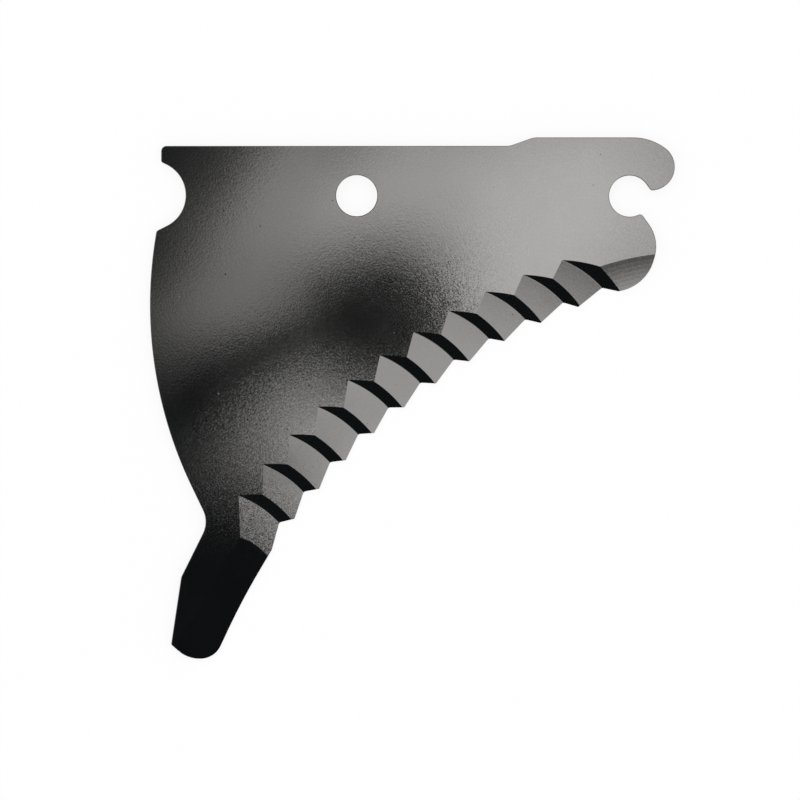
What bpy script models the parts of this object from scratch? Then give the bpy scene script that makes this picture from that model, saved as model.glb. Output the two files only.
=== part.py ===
"""Round baler knife: one hardened steel plate, ground from one face into eleven long serrations.

The plate hangs on a shaft through its round bore, and the open hook drops over a second shaft. A roller runs in the
half-round notch at its back. Below the serrations a tail runs down to a rounded toe, sharpened along its front.

All sizes are in metres. The drawing's datum is the bore's axis, with +X towards the hook, +Y towards the straight
top edge and the ground face up. The finished plate is then set with its flat back on z = 0 and the middle of its
plan at the origin.
"""

import math
from collections import namedtuple

import bmesh
import bpy
from mathutils import Vector

# Plate
PLATE_THICKNESS = 0.004
RIM_BREAK = 0.0003
RIM_STEPS = 2
ARC_ERROR = 0.00001
MERGE_DISTANCE = 0.000001
FLAT_ANGLE = 0.05
SHARP_ANGLE = 20

# Shaft bore
BORE_RADIUS = 0.0103

# Top edge, from the hook to the horn above the notch
TOP_EDGE_Y = 0.0249
TOP_STEP = 0.00425
RAMP_MIDDLE_X = 0.0825
RAMP_ANGLE = 19.6
RAMP_ROUND = 0.010
HORN_SETBACK = 0.0048
HORN_ROUND = 0.0027
HORN_TIP_ROUND = 0.0012

# Roller notch
NOTCH_REACH = 0.1026
NOTCH_Y = 0.0002
NOTCH_RADIUS = 0.01705
NOTCH_HEADINGS = (-26.4, -153)
NOTCH_LIP_ROUND = 0.0016

# Back of the plate, one long arc
BACK_REACH = 0.1034
BACK_MIDDLE_Y = -0.0545
BACK_RADIUS = 0.209
BACK_HEADINGS = (-99.5, -64.4)
WAIST_RADIUS = 0.0134

# Tail
TAIL_BEND_X = -0.0878
TAIL_BEND_Y = -0.1908
TAIL_HEADINGS = (-116.4, -98.5)
TAIL_BEND_ROUND = 0.006
HEEL_ROUND = 0.0014
TOE_FORWARD = 0.0093
TOE_DROP = 0.0248
TOE_RADIUS = 0.0161
TOE_HEADINGS = (-41, 1)
TOE_FRONT_ROUND = 0.011
TAIL_EDGE_FORWARD = 0.0310
TAIL_EDGE_DROP = 0.0118
TAIL_EDGE_HOLLOW = 0.3587
TAIL_EDGE_HEADINGS = (64.9, 57.9)

# Serration: tips and valleys lie on two circles about one centre
TEETH = 11
SERRATION_X = 0.2321
SERRATION_Y = -0.3662
TIP_CIRCLE = 0.3334
TOOTH_DEPTH = 0.00494
FIRST_TIP_ANGLE = 142.15
FIRST_PITCH = 3.337
PITCH_GROWTH = 0.022
VALLEY_LEAD = 1.05
VALLEY_ROUND = 0.0017
TIP_ROUND = 0.0004
TAIL_TIP_ROUND = 0.0022

# Grinding wheel that cuts each facet with its face and the flank above it with its coned side
WHEEL_RADIUS = 0.056
WHEEL_FLANK = 22.3
WHEEL_EDGE_ROUND = 0.0012
WHEEL_HEIGHT = 0.009
GROOVE_LENGTH = 0.0244
GROOVE_HEADING = -34.4
FIRST_FACET_AZIMUTH = 2
FACET_TURN = -2.85
VALLEY_EDGE = 0.0003

# Ground bevel along the front of the tail, placed from the tip that ends it
TAIL_FACET_START = (-0.01504, 0.00735)
TAIL_FACET_END = (-0.00214, -0.0035)
TAIL_FACET_AZIMUTH = -30.8
TAIL_EDGE = 0.0011

# Rounded front corner, placed from the last valley, and its ground bevel, placed from the corner
CORNER_FORWARD = 0.00538
CORNER_RISE = 0.01918
CORNER_RADIUS = 0.0211
CORNER_HEADINGS = (12, 74)
BROW_SETBACK = 0.0062
BROW_DROP = 0.0246
BROW_RADIUS = 0.0190
BROW_END_HEADING = 126
LAST_TOOTH_HEADING = -12.2
CORNER_FACET_START = (-0.00725, -0.0089)
CORNER_FACET_END = (0.0217, -0.0024)
CORNER_FACET_RADIUS = 0.135
CORNER_FACET_SLOPES = (12, 5.5)
CORNER_FACET_STEPS = 12
CORNER_FACET_MARGIN = 3

# Hook, with its seat placed from the corner, and its crown and the brow below it from the seat
HOOK_SEAT_FORWARD = 0.0083
HOOK_SEAT_RISE = 0.0266
HOOK_SEAT_RADIUS = 0.0103
HOOK_SEAT_HEADINGS = (203, -54)
HOOK_SEAT_STEPS = 3
HOOK_LIP_ROUND = 0.0018
HOOK_NOSE_ROUND = 0.0020
HOOK_CROWN_FORWARD = 0.0108
HOOK_CROWN_RISE = 0.0146
HOOK_CROWN_RADIUS = 0.01175
HOOK_CROWN_HEADINGS = (8, 144.5)
HOOK_CROWN_STEPS = 2
HOOK_SHOULDER_RADIUS = 0.0272

STEEL_COLOR = (0.09, 0.09, 0.092, 1.0)
STEEL_ROUGHNESS = 0.28
STEEL_METALLIC = 1.0

# A corner of the outline: where its two straight sides would meet, the round between them, and whether it is ground
Corner = namedtuple("Corner", "point radius keen")


def ray(angle):
    """Unit vector in the plan at an angle in degrees."""
    return Vector((math.cos(math.radians(angle)), math.sin(math.radians(angle))))


def line(x, y, heading):
    """A straight side of the outline through a point."""
    return Vector((x, y)), ray(heading)


def touching(x, y, bend, heading):
    """The straight side that touches a round about (x, y) where the outline runs along the heading. A hollow round
    has a negative bend."""
    return Vector((x, y)) + bend * ray(heading - 90), ray(heading)


def meet(first, second):
    """The point where two sides cross."""
    (start, along), (other, across) = first, second
    normal = Vector((-across.y, across.x))
    return start + along * ((other - start).dot(normal) / along.dot(normal))


def corners_of(sides, keen=False):
    """The corners between a run of sides, each given with the radius of the round that leads to the next side."""
    return [
        Corner(meet(side, following), radius, keen)
        for (side, radius), (following, _) in zip(sides, sides[1:])
    ]


def sweep(x, y, bend, start, end, parts):
    """A round that turns too far for one corner, as equal corners of one radius."""
    headings = [start + (end - start) * part / parts for part in range(parts + 1)]
    return [(touching(x, y, bend, heading), abs(bend)) for heading in headings]


def arc_step(radius):
    """The largest turn between two points of an arc that keeps the chord within ARC_ERROR."""
    return 2 * math.acos(1 - ARC_ERROR / radius)


def tip(number):
    """Where the tip of a tooth would be if it were sharp. Tip 0 ends the tail."""
    steps = number - 1
    turn = FIRST_PITCH * steps + PITCH_GROWTH * steps * (steps - 1) / 2
    return serration_point(TIP_CIRCLE, FIRST_TIP_ANGLE - turn)


def valley(number):
    """Where the valley in front of a tooth would be if it were sharp."""
    steps = number - 1
    turn = FIRST_PITCH * steps + PITCH_GROWTH * steps * (steps - 1) / 2
    return serration_point(TIP_CIRCLE + TOOTH_DEPTH, FIRST_TIP_ANGLE + VALLEY_LEAD - turn)


def serration_point(radius, angle):
    return Vector((SERRATION_X, SERRATION_Y)) + radius * ray(angle)


def back_corners():
    """From the raised top edge over the horn and the notch, down the back and round the toe to the tail's edge."""
    raised = TOP_EDGE_Y + TOP_STEP
    back_x = BACK_RADIUS - BACK_REACH
    notch = [touching(-NOTCH_REACH, NOTCH_Y, -NOTCH_RADIUS, heading) for heading in NOTCH_HEADINGS]
    back = [touching(back_x, BACK_MIDDLE_Y, BACK_RADIUS, heading) for heading in BACK_HEADINGS]
    tail = [line(TAIL_BEND_X, TAIL_BEND_Y, heading) for heading in TAIL_HEADINGS]
    toe_x, toe_y = TAIL_BEND_X + TOE_FORWARD, TAIL_BEND_Y - TOE_DROP
    toe = [touching(toe_x, toe_y, TOE_RADIUS, heading) for heading in TOE_HEADINGS]
    edge_middle = Vector((TAIL_BEND_X + TAIL_EDGE_FORWARD, TAIL_BEND_Y - TAIL_EDGE_DROP))
    hollow = edge_middle + TAIL_EDGE_HOLLOW * ray(sum(TAIL_EDGE_HEADINGS) / 2 - 90)
    edge = [touching(hollow.x, hollow.y, -TAIL_EDGE_HOLLOW, heading) for heading in TAIL_EDGE_HEADINGS]
    plain = [
        (line(0, raised, 180), RAMP_ROUND),
        (line(RAMP_MIDDLE_X, TOP_EDGE_Y + TOP_STEP / 2, 180 + RAMP_ANGLE), RAMP_ROUND),
        (line(0, TOP_EDGE_Y, 180), HORN_ROUND),
        (line(HORN_SETBACK - NOTCH_REACH, 0, -90), HORN_TIP_ROUND),
        (notch[0], NOTCH_RADIUS),
        (notch[1], NOTCH_LIP_ROUND),
        (back[0], BACK_RADIUS),
        (back[1], WAIST_RADIUS),
        (tail[0], TAIL_BEND_ROUND),
        (tail[1], HEEL_ROUND),
        (toe[0], TOE_RADIUS),
    ]
    ground = [(toe[0], TOE_RADIUS), (toe[1], TOE_FRONT_ROUND), (edge[0], TAIL_EDGE_HOLLOW), (edge[1], 0)]
    return corners_of(plain) + corners_of(ground, keen=True)


def serration_corners():
    """From the end of the tail's edge to the last tooth: each valley, then the tip after it."""
    corners = [Corner(tip(0), TAIL_TIP_ROUND, True)]
    for number in range(1, TEETH + 1):
        corners.append(Corner(valley(number), VALLEY_ROUND, True))
        corners.append(Corner(tip(number), TIP_ROUND, True))
    last = line(*valley(TEETH), LAST_TOOTH_HEADING)
    corners[-1] = Corner(meet(last, corner_side(CORNER_HEADINGS[0])), TIP_ROUND, True)
    return corners


def corner_centre():
    return valley(TEETH) + Vector((CORNER_FORWARD, CORNER_RISE))


def corner_side(heading):
    return touching(*corner_centre(), CORNER_RADIUS, heading)


def hook_corners():
    """From the last tooth round the front corner, into the hook's seat and over its crown to the raised top edge."""
    corner = [corner_side(heading) for heading in CORNER_HEADINGS]
    middle = corner_centre() + Vector((HOOK_SEAT_FORWARD, HOOK_SEAT_RISE))
    crown_middle = middle + Vector((HOOK_CROWN_FORWARD, HOOK_CROWN_RISE))
    brow = touching(middle.x - BROW_SETBACK, middle.y - BROW_DROP, BROW_RADIUS, BROW_END_HEADING)
    seat = sweep(*middle, -HOOK_SEAT_RADIUS, *HOOK_SEAT_HEADINGS, HOOK_SEAT_STEPS)
    crown = sweep(*crown_middle, HOOK_CROWN_RADIUS, *HOOK_CROWN_HEADINGS, HOOK_CROWN_STEPS)
    seat_end, _ = seat.pop()
    crown_end, _ = crown.pop()
    ground = [(corner[0], CORNER_RADIUS), (corner[1], 0)]
    plain = [
        (corner[1], BROW_RADIUS),
        (brow, HOOK_LIP_ROUND),
        *seat,
        (seat_end, HOOK_NOSE_ROUND),
        *crown,
        (crown_end, HOOK_SHOULDER_RADIUS),
        (line(0, TOP_EDGE_Y + TOP_STEP, 180), 0),
    ]
    return corners_of(ground, keen=True) + corners_of(plain)


def rounded(corners):
    """The outline's points, with an arc in place of each corner, and whether each point is on a ground edge. Where a
    side is too short for the rounds at its two ends, both are made smaller until they touch."""
    sides = [after.point - corner.point for corner, after in zip(corners, corners[1:] + corners[:1])]
    halves = [(-sides[index - 1]).angle(side) / 2 for index, side in enumerate(sides)]
    reaches = [corner.radius / math.tan(half) for corner, half in zip(corners, halves)]
    needed = [reach + after for reach, after in zip(reaches, reaches[1:] + reaches[:1])]
    fits = [min(1, side.length / reach) for side, reach in zip(sides, needed)]
    points = []
    for index, (corner, half) in enumerate(zip(corners, halves)):
        before, after = -sides[index - 1].normalized(), sides[index].normalized()
        radius = corner.radius * min(fits[index - 1], fits[index])
        centre = corner.point + (before + after).normalized() * (radius / math.sin(half))
        start = corner.point + before * (radius / math.tan(half)) - centre
        turn = math.copysign(math.pi - 2 * half, before.cross(after) * -1)
        steps = max(1, math.ceil(abs(turn) / arc_step(radius)))
        for step in range(steps + 1):
            angle = turn * step / steps
            spoke = Vector((
                start.x * math.cos(angle) - start.y * math.sin(angle),
                start.x * math.sin(angle) + start.y * math.cos(angle),
            ))
            points.append((centre + spoke, corner.keen))
    # Rounds that touch share a point, which is kept once
    return [
        point
        for index, point in enumerate(points)
        if (point[0] - points[index - 1][0]).length > ARC_ERROR
    ]


def add_object(name, bm, collection):
    bmesh.ops.recalc_face_normals(bm, faces=bm.faces)
    mesh = bpy.data.meshes.new(name)
    bm.to_mesh(mesh)
    bm.free()
    made = bpy.data.objects.new(name, mesh)
    collection.objects.link(made)
    return made


def make_blank(points, collection):
    """The plate before grinding, with its plain rims broken and its ground edges left square."""
    bm = bmesh.new()
    weight = bm.edges.layers.float.new("bevel_weight_edge")
    bottom = bm.faces.new([bm.verts.new((*point, 0)) for point, _ in points])
    keen = [is_keen for _, is_keen in points]
    pairs = list(zip(bottom.verts, keen))
    for vert_and_keen, following in zip(pairs, pairs[1:] + pairs[:1]):
        rim = bm.edges.get((vert_and_keen[0], following[0]))
        rim[weight] = 0 if vert_and_keen[1] and following[1] else 1
    raised = bmesh.ops.extrude_face_region(bm, geom=[bottom], use_keep_orig=True)
    top_verts = [item for item in raised["geom"] if isinstance(item, bmesh.types.BMVert)]
    bmesh.ops.translate(bm, verts=top_verts, vec=(0, 0, PLATE_THICKNESS))
    for edge in bm.edges:
        if edge.verts[0].co.z != edge.verts[1].co.z:
            edge[weight] = 0
    plate = add_object("knife", bm, collection)
    bevel = plate.modifiers.new("rim break", "BEVEL")
    bevel.limit_method = "WEIGHT"
    bevel.width = RIM_BREAK
    bevel.segments = RIM_STEPS
    bevel.use_clamp_overlap = False
    return plate


def add_cutter(name, bm, collection):
    """A cutter's object, with its flat faces joined into one each."""
    bmesh.ops.dissolve_limit(bm, angle_limit=math.radians(FLAT_ANGLE), verts=bm.verts, edges=bm.edges)
    cutter = add_object(name, bm, collection)
    cutter.hide_render = True
    cutter.display_type = "WIRE"
    return cutter


def turned(name, profile, radius, collection):
    """A cutter turned about Z from a profile that starts and ends on the axis. The radius sets how fine it is."""
    bm = bmesh.new()
    verts = [bm.verts.new((reach, 0, height)) for reach, height in profile]
    edges = [bm.edges.new(pair) for pair in zip(verts, verts[1:])]
    steps = math.ceil(2 * math.pi / arc_step(radius))
    bmesh.ops.spin(bm, geom=verts + edges, cent=(0, 0, 0), axis=(0, 0, 1), angle=2 * math.pi, steps=steps)
    bmesh.ops.remove_doubles(bm, verts=bm.verts, dist=MERGE_DISTANCE)
    return add_cutter(name, bm, collection)


def swept(name, profile, start, end, radius, collection):
    """A cutter with a closed profile, swept about Z from one azimuth to another."""
    bm = bmesh.new()
    along = ray(start)
    face = bm.faces.new([bm.verts.new((*(along * reach), height)) for reach, height in profile])
    turn = math.radians(end - start)
    steps = math.ceil(abs(turn) / arc_step(radius))
    bmesh.ops.spin(bm, geom=[face], cent=(0, 0, 0), axis=(0, 0, 1), angle=turn, steps=steps)
    return add_cutter(name, bm, collection)


def bore_cutter(collection):
    """A straight bore whose rims are broken like the plate's."""
    mouth = BORE_RADIUS + 2 * RIM_BREAK
    profile = [
        (0, -RIM_BREAK),
        (mouth, -RIM_BREAK),
        (BORE_RADIUS, RIM_BREAK),
        (BORE_RADIUS, PLATE_THICKNESS - RIM_BREAK),
        (mouth, PLATE_THICKNESS + RIM_BREAK),
        (0, PLATE_THICKNESS + RIM_BREAK),
    ]
    return turned("bore_cutter", profile, BORE_RADIUS, collection)


def facet_normal(azimuth, fall):
    """The upward normal of a ground face that drops by fall for each unit along its azimuth."""
    downhill = ray(azimuth) * fall
    return Vector((downhill.x, downhill.y, 1)).normalized()


def wheel_cutter(name, radius, centre, normal, collection):
    """The grinding wheel: a flat face on the facet, a rounded edge in the groove and a coned side as the flank."""
    flank = math.radians(WHEEL_FLANK)
    inset = WHEEL_EDGE_ROUND * math.tan(flank / 2)
    edge_steps = math.ceil(flank / arc_step(WHEEL_EDGE_ROUND))
    profile = [(0, 0)]
    for step in range(edge_steps + 1):
        angle = flank * step / edge_steps
        reach = radius - inset + WHEEL_EDGE_ROUND * math.sin(angle)
        profile.append((reach, WHEEL_EDGE_ROUND * (1 - math.cos(angle))))
    profile.append((radius + WHEEL_HEIGHT / math.tan(flank), WHEEL_HEIGHT))
    profile.append((0, WHEEL_HEIGHT))
    cutter = turned(name, profile, radius, collection)
    cutter.rotation_mode = "QUATERNION"
    cutter.rotation_quaternion = normal.to_track_quat("Z", "Y")
    cutter.location = centre
    return cutter


def groove_cutter(name, apex, mouth, azimuth, edge, collection):
    """A wheel whose face drops from the apex on the plate's face to a given edge thickness at the groove's mouth, and
    whose rim passes through both."""
    fall = (PLATE_THICKNESS - edge) / (mouth - apex).dot(ray(azimuth))
    normal = facet_normal(azimuth, fall)
    high = Vector((*apex, PLATE_THICKNESS))
    low = Vector((*mouth, edge))
    chord = low - high
    sideways = chord.cross(normal).normalized()
    centre = (high + low) / 2 + sideways * math.sqrt(WHEEL_RADIUS**2 - (chord.length / 2) ** 2)
    return wheel_cutter(name, WHEEL_RADIUS, centre, normal, collection)


def tooth_cutters(collection):
    """One groove for each tooth. Each facet turns with the cutting edge, while the grooves stay parallel."""
    cutters = []
    for number in range(1, TEETH + 1):
        mouth = valley(number)
        apex = mouth - GROOVE_LENGTH * ray(GROOVE_HEADING)
        azimuth = FIRST_FACET_AZIMUTH + FACET_TURN * (number - 1)
        cutters.append(groove_cutter(f"tooth_cutter_{number:02d}", apex, mouth, azimuth, VALLEY_EDGE, collection))
    return cutters


def tail_cutter(collection):
    """The bevel that sharpens the front of the tail, ended at the first facet by the wheel's flank."""
    start, end = (tip(0) + Vector(offset) for offset in (TAIL_FACET_START, TAIL_FACET_END))
    return groove_cutter("tail_cutter", start, end, TAIL_FACET_AZIMUTH, TAIL_EDGE, collection)


def corner_cutter(collection):
    """The hollow-ground bevel on the rounded front corner, from the last tooth to the corner's widest point. Its upper
    edge is an arc that bows into the plate's face, and it flattens towards the cutting edge."""
    start, end = (corner_centre() + Vector(offset) for offset in (CORNER_FACET_START, CORNER_FACET_END))
    chord = end - start
    outward = Vector((chord.y, -chord.x)).normalized()
    centre = (start + end) / 2 + outward * math.sqrt(CORNER_FACET_RADIUS**2 - (chord.length / 2) ** 2)
    steep, flat = (math.radians(slope) for slope in CORNER_FACET_SLOPES)
    hollow = PLATE_THICKNESS / (math.cos(flat) - math.cos(steep))
    top = PLATE_THICKNESS + WHEEL_HEIGHT
    profile = [(CORNER_FACET_RADIUS + WHEEL_HEIGHT / math.tan(steep), top)]
    for step in range(CORNER_FACET_STEPS + 1):
        slope = steep + (flat - steep) * step / CORNER_FACET_STEPS
        reach = CORNER_FACET_RADIUS - hollow * (math.sin(steep) - math.sin(slope))
        profile.append((reach, PLATE_THICKNESS - hollow * (math.cos(slope) - math.cos(steep))))
    profile.append((profile[-1][0], top))
    azimuths = [math.degrees(math.atan2(*(point - centre).yx)) for point in (start, end)]
    first, last = azimuths[0] + CORNER_FACET_MARGIN, azimuths[1] - CORNER_FACET_MARGIN
    cutter = swept("corner_cutter", profile, first, last, CORNER_FACET_RADIUS, collection)
    cutter.location = (*centre, 0)
    return cutter


def cut(plate, cutters):
    for cutter in cutters:
        boolean = plate.modifiers.new(cutter.name, "BOOLEAN")
        boolean.operation = "DIFFERENCE"
        boolean.solver = "EXACT"
        boolean.object = cutter


def steel():
    material = bpy.data.materials.new("blackened_steel")
    material.use_nodes = True
    shader = material.node_tree.nodes["Principled BSDF"]
    shader.inputs["Base Color"].default_value = STEEL_COLOR
    shader.inputs["Roughness"].default_value = STEEL_ROUGHNESS
    shader.inputs["Metallic"].default_value = STEEL_METALLIC
    return material


def clear_scene():
    for leftover in list(bpy.data.objects):
        bpy.data.objects.remove(leftover, do_unlink=True)


def add_collection(name):
    collection = bpy.data.collections.new(name)
    bpy.context.scene.collection.children.link(collection)
    return collection


def middle_of(points):
    """The middle of the outline's own box, from the datum."""
    across = [point.x for point, _ in points]
    along = [point.y for point, _ in points]
    return Vector(((min(across) + max(across)) / 2, (min(along) + max(along)) / 2, 0))


def main():
    clear_scene()
    parts = add_collection("round_baler_knife")
    tools = add_collection("cutters")
    tools.hide_render = True
    points = rounded(back_corners() + serration_corners() + hook_corners())
    plate = make_blank(points, parts)
    cutters = [bore_cutter(tools), tail_cutter(tools), *tooth_cutters(tools), corner_cutter(tools)]
    cut(plate, cutters)
    datum = -middle_of(points)
    for placed in [plate, *cutters]:
        placed.location = placed.location + datum
    plate.data.materials.append(steel())
    plate.data.shade_smooth()
    plate.data.set_sharp_from_angle(angle=math.radians(SHARP_ANGLE))


main()
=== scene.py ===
"""A round baler knife in glossy blackened steel, seen from straight above under soft studio light."""

import math

import bpy
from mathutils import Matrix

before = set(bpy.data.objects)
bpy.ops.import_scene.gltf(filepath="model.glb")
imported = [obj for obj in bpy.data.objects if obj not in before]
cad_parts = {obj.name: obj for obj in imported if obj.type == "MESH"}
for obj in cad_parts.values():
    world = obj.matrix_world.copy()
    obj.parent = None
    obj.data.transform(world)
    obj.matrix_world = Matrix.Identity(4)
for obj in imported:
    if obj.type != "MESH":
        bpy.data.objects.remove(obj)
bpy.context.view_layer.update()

# Camera: 800 pixels across 400 mm of the plate's face
FRAME_MIDDLE = (-0.00618, -0.00091)
FRAME_WIDTH = 0.4
FACE_HEIGHT = 0.004
CAMERA_HEIGHT = 2.0
SENSOR = 36.0
CLIP_END = 20

# Floor: just under the plate, and how much of it glows white for the camera and for reflections
FLOOR_SIZE = 8
FLOOR_HEIGHT = -0.0002
FLOOR_COLOUR = (0.98, 0.98, 0.98, 1)
FLOOR_GLOW = 0.86

# Light panel, which only reflections see: its level between the pools, and the least it gives
PANEL_HEIGHT = 0.504
PANEL_SIZE = 1.3
PANEL_DARK = 0.0232
PANEL_LEAST = 0.004
# Its dark parts are bluish, and the tint is gone where the light times the gain reaches 1
DARK_TINT = (0.72, 1, 1.13, 1)
TINT_GAIN = 10
WHITE = (1, 1, 1, 1)
# Between these distances from a place on it, the panel thins out and the studio shows through it
STUDIO_MIDDLE = (0.0, -0.13, 0)
STUDIO_REACH = (0.36, 0.60)
# Each pool of light on the panel: strength, middle, two spreads, and turn in degrees
PANEL_POOLS = [
    (2.421, (0.1058, 0.1246), (0.0988, 0.0661), 24.1),
    (3.422, (0.0104, -0.0273), (0.0587, 0.0180), 7.0),
    (1.049, (-0.0188, 0.0553), (0.0675, 0.0148), 2.7),
    (4.015, (-0.0532, 0.0130), (0.0362, 0.0220), 34.3),
    (-1.501, (0.0210, 0.0549), (0.0169, 0.0134), 120.8),
    (2.626, (0.3326, -0.1058), (0.0447, 0.1604), 59.2),
    (0.956, (-0.0435, 0.1105), (0.0667, 0.0284), 42.2),
    (-4.035, (-0.0412, 0.0301), (0.0488, 0.0294), 42.1),
    (1.360, (0.1462, -0.0738), (0.0269, 0.0285), 88.8),
    (0.564, (-0.0726, 0.1524), (0.0120, 0.0604), 147.5),
]

# The studio's soft boxes, which only reflections see: how fine they are, and their dark and light
BOX_SCALE = 4.2
BOX_EDGES = (0.34, 0.66)
BOX_LIGHT = (0.3, 0.95)

STEEL = (0.1712, 0.1685, 0.164)
# Roughness where the mottle is darkest and lightest
ROUGHNESS = (0.075, 0.115)
# A surface is ground where its normal's Z is less than this
FACE_LIMIT = 0.9995
# Fine crystals: how many to the metre, and how much they differ in shade
CRYSTAL_SCALE = 2700
CRYSTAL_SHADE = 0.038
# How far they lean on the face, in the hardened band along the serrations and away from it. The band
# fades out between these two distances along this direction
FACE_LEAN = (0.029, 0.013)
BAND_DIRECTION = (-0.523, 0.852, 0)
BAND_EDGES = (0.044, 0.065)
# How far they lean on the ground facets, near this place on the first facet and away from it
GROUND_LEAN = (0.055, 0.013)
COARSE_PLACE = (-0.0787, -0.0634, 0.003)
COARSE_REACH = (0.012, 0.031)
# Near that place the face's crystals lean this much further too, and beyond it they don't
COARSE_FACE = (1.2, 1)
COARSE_FACE_REACH = (0.03, 0.09)
# Shallow orange peel: how fine, how high, and how much of it the grinding took away
PEEL_SCALE = 1100
PEEL_HEIGHT = 0.0000095
PEEL_GROUND_AWAY = 0.6
# Slow mottle: how fine, how many octaves, and how much it darkens
MOTTLE_SCALE = 38
MOTTLE_DETAIL = 3
MOTTLE_SHADE = 0.16
# Sparse small pits: how many to the metre, their reach, lean and darkness
PIT_SCALE = 95
PIT_REACH = (0.012, 0.045)
PIT_LEAN = 0.22
PIT_SHADE = 0.35
# The middle of a random colour, which leans nowhere
HALF = (0.5, 0.5, 0.5)


class Nodes:
    """A short way to add and join shader nodes. A value is another node's socket or a constant."""

    def __init__(self, tree):
        self.tree = tree
        tree.nodes.clear()

    def add(self, kind, **settings):
        node = self.tree.nodes.new(kind)
        for name, value in settings.items():
            setattr(node, name, value)
        return node

    def put(self, value, socket):
        if isinstance(value, bpy.types.NodeSocket):
            self.tree.links.new(value, socket)
        else:
            socket.default_value = value

    def fill(self, node, **values):
        """Fills the named inputs; an underscore in a name stands for a space."""
        for name, value in values.items():
            self.put(value, node.inputs[name.replace("_", " ")])
        return node

    def math(self, operation, *values, clamp=False):
        node = self.add("ShaderNodeMath", operation=operation, use_clamp=clamp)
        for socket, value in zip(node.inputs, values):
            self.put(value, socket)
        return node.outputs[0]

    def vector(self, operation, *values):
        node = self.add("ShaderNodeVectorMath", operation=operation)
        for socket, value in zip(node.inputs, values):
            self.put(value, socket)
        return node.outputs["Value" if operation in ("DOT_PRODUCT", "DISTANCE", "LENGTH") else "Vector"]

    def scaled(self, vector, scale):
        node = self.add("ShaderNodeVectorMath", operation="SCALE")
        self.put(vector, node.inputs[0])
        return self.fill(node, Scale=scale).outputs["Vector"]

    def remap(self, value, source, target, kind="SMOOTHSTEP"):
        node = self.add("ShaderNodeMapRange", interpolation_type=kind)
        self.fill(node, Value=value, From_Min=source[0], From_Max=source[1])
        return self.fill(node, To_Min=target[0], To_Max=target[1]).outputs["Result"]

    def noise(self, place, scale, detail):
        node = self.add("ShaderNodeTexNoise")
        return self.fill(node, Vector=place, Scale=scale, Detail=detail).outputs["Fac"]

    def cells(self, place, scale):
        return self.fill(self.add("ShaderNodeTexVoronoi"), Vector=place, Scale=scale).outputs

    def finish(self, shader, kind="ShaderNodeOutputMaterial"):
        self.fill(self.add(kind), Surface=shader.outputs[0])


def new_material(name):
    material = bpy.data.materials.new(name)
    material.use_nodes = True
    return material, Nodes(material.node_tree)


def plane(name, size, location):
    mesh = bpy.data.meshes.new(name)
    half = size / 2
    corners = [(-half, -half, 0), (half, -half, 0), (half, half, 0), (-half, half, 0)]
    mesh.from_pydata(corners, [], [(0, 1, 2, 3)])
    made = bpy.data.objects.new(name, mesh)
    made.location = location
    bpy.context.scene.collection.objects.link(made)
    return made


def steel_material():
    """Dark steel in fine crystals, with orange peel, a slow mottle and a few pits."""
    material, n = new_material("blackened_steel")
    coordinates = n.add("ShaderNodeTexCoord").outputs
    place = coordinates["Object"]
    facing = n.add("ShaderNodeSeparateXYZ")
    n.put(coordinates["Normal"], facing.inputs[0])
    ground = n.math("LESS_THAN", facing.outputs["Z"], FACE_LIMIT)

    # Each crystal and each pit leans its own way
    crystals = n.cells(place, CRYSTAL_SCALE)
    on_face = n.remap(n.vector("DOT_PRODUCT", place, BAND_DIRECTION), BAND_EDGES, FACE_LEAN)
    away = n.vector("DISTANCE", place, COARSE_PLACE)
    on_face = n.math("MULTIPLY", on_face, n.remap(away, COARSE_FACE_REACH, COARSE_FACE))
    on_facets = n.remap(away, COARSE_REACH, GROUND_LEAN)
    lean = n.fill(n.add("ShaderNodeMix"), Factor=ground, A=on_face, B=on_facets).outputs["Result"]
    tilt = n.scaled(n.vector("SUBTRACT", crystals["Color"], HALF), lean)
    pits = n.cells(place, PIT_SCALE)
    pit = n.remap(pits["Distance"], PIT_REACH, (1, 0), kind="LINEAR")
    dent = n.scaled(n.vector("SUBTRACT", pits["Color"], HALF), n.math("MULTIPLY", pit, PIT_LEAN))
    smooth = n.add("ShaderNodeNewGeometry").outputs["Normal"]
    leaning = n.vector("NORMALIZE", n.vector("ADD", smooth, n.vector("ADD", tilt, dent)))
    peel = n.fill(
        n.add("ShaderNodeBump"),
        Distance=PEEL_HEIGHT,
        Strength=n.math("MULTIPLY_ADD", ground, -PEEL_GROUND_AWAY, 1),
        Height=n.noise(place, PEEL_SCALE, 0),
        Normal=leaning,
    )

    # Crystals, mottle and pits each darken the steel a little
    shade = n.add("ShaderNodeTexWhiteNoise", noise_dimensions="3D")
    n.fill(shade, Vector=crystals["Color"])
    mottle = n.noise(place, MOTTLE_SCALE, MOTTLE_DETAIL)
    light = n.math("MULTIPLY_ADD", shade.outputs["Value"], 2 * CRYSTAL_SHADE, 1 - CRYSTAL_SHADE)
    mottled = n.math("MULTIPLY_ADD", mottle, MOTTLE_SHADE, 1 - MOTTLE_SHADE / 2)
    light = n.math("MULTIPLY", light, mottled)
    light = n.math("MULTIPLY", light, n.math("MULTIPLY_ADD", pit, -PIT_SHADE, 1))

    least, most = ROUGHNESS
    shader = n.fill(
        n.add("ShaderNodeBsdfPrincipled"),
        Base_Color=n.scaled(STEEL, light),
        Metallic=1,
        Roughness=n.math("MULTIPLY_ADD", mottle, most - least, least),
        Normal=peel.outputs["Normal"],
    )
    n.finish(shader)
    return material


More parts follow.
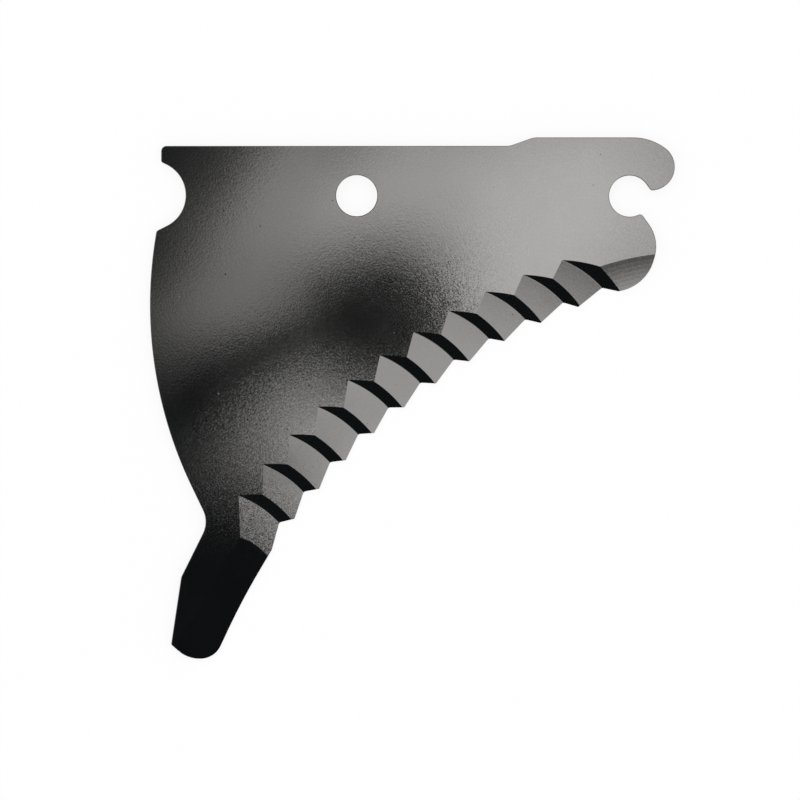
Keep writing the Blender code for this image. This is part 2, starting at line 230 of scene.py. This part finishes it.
def floor_material():
    """White, with a share of plain diffuse so that it keeps the knife's shadow."""
    material, n = new_material("floor_white")
    diffuse = n.fill(n.add("ShaderNodeBsdfDiffuse"), Color=FLOOR_COLOUR)
    glow = n.add("ShaderNodeEmission")
    path = n.add("ShaderNodeLightPath").outputs
    seen = n.math("MAXIMUM", path["Is Camera Ray"], path["Is Glossy Ray"])
    seen = n.math("MAXIMUM", seen, path["Is Transmission Ray"])
    mix = n.fill(n.add("ShaderNodeMixShader"), Fac=n.math("MULTIPLY", seen, FLOOR_GLOW))
    n.put(diffuse.outputs[0], mix.inputs[1])
    n.put(glow.outputs[0], mix.inputs[2])
    n.finish(mix)
    return material


def panel_material():
    """Soft pools of light on a dark panel, in the panel's own coordinates."""
    material, n = new_material("panel_light")
    place = n.add("ShaderNodeTexCoord").outputs["Object"]
    total = PANEL_DARK
    for strength, middle, spread, turn in PANEL_POOLS:
        pool = n.fill(
            n.add("ShaderNodeMapping", vector_type="TEXTURE"),
            Vector=place,
            Location=(*middle, 0),
            Rotation=(0, 0, math.radians(turn)),
            Scale=(*spread, 1),
        )
        square = n.math("POWER", n.vector("LENGTH", pool.outputs[0]), 2)
        fall = n.math("EXPONENT", n.math("MULTIPLY", square, -0.5))
        total = n.math("MULTIPLY_ADD", fall, strength, total)
    lit = n.math("MULTIPLY", total, TINT_GAIN, clamp=True)
    tint = n.fill(n.add("ShaderNodeMix", data_type="RGBA"), Factor=lit, A=DARK_TINT, B=WHITE)
    emission = n.fill(
        n.add("ShaderNodeEmission"),
        Color=tint.outputs["Result"],
        Strength=n.math("MAXIMUM", total, PANEL_LEAST),
    )
    thin = n.remap(n.vector("DISTANCE", place, STUDIO_MIDDLE), STUDIO_REACH, (0, 1))
    mix = n.fill(n.add("ShaderNodeMixShader"), Fac=thin)
    n.put(emission.outputs[0], mix.inputs[1])
    n.put(n.add("ShaderNodeBsdfTransparent").outputs[0], mix.inputs[2])
    n.finish(mix)
    material.cycles.emission_sampling = "NONE"
    return material


def set_world():
    """Plain white, but reflections see soft boxes instead."""
    world = bpy.data.worlds.new("studio")
    bpy.context.scene.world = world
    world.use_nodes = True
    n = Nodes(world.node_tree)
    glossy = n.add("ShaderNodeLightPath").outputs["Is Glossy Ray"]
    direction = n.add("ShaderNodeTexCoord").outputs["Generated"]
    boxes = n.remap(n.noise(direction, BOX_SCALE, 0), BOX_EDGES, BOX_LIGHT)
    strength = n.math("ADD", n.math("SUBTRACT", 1, glossy), n.math("MULTIPLY", boxes, glossy))
    background = n.fill(n.add("ShaderNodeBackground"), Color=WHITE, Strength=strength)
    n.finish(background, kind="ShaderNodeOutputWorld")


def make_stage():
    floor = plane("floor", FLOOR_SIZE, (0, 0, FLOOR_HEIGHT))
    floor.data.materials.append(floor_material())
    panel = plane("panel", PANEL_SIZE, (*FRAME_MIDDLE, PANEL_HEIGHT))
    panel.data.materials.append(panel_material())
    panel.visible_camera = False
    panel.visible_diffuse = False
    panel.visible_shadow = False
    panel.visible_transmission = False


def make_camera():
    data = bpy.data.cameras.new("camera")
    data.sensor_width = SENSOR
    data.lens = SENSOR * CAMERA_HEIGHT / FRAME_WIDTH
    data.clip_end = CLIP_END
    camera = bpy.data.objects.new("camera", data)
    camera.location = (*FRAME_MIDDLE, FACE_HEIGHT + CAMERA_HEIGHT)
    bpy.context.scene.collection.objects.link(camera)
    bpy.context.scene.camera = camera


def dress_knife():
    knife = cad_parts["knife"]
    knife.data.materials.clear()
    knife.data.materials.append(steel_material())


dress_knife()
make_stage()
set_world()
make_camera()
bpy.context.scene.view_settings.view_transform = "Standard"
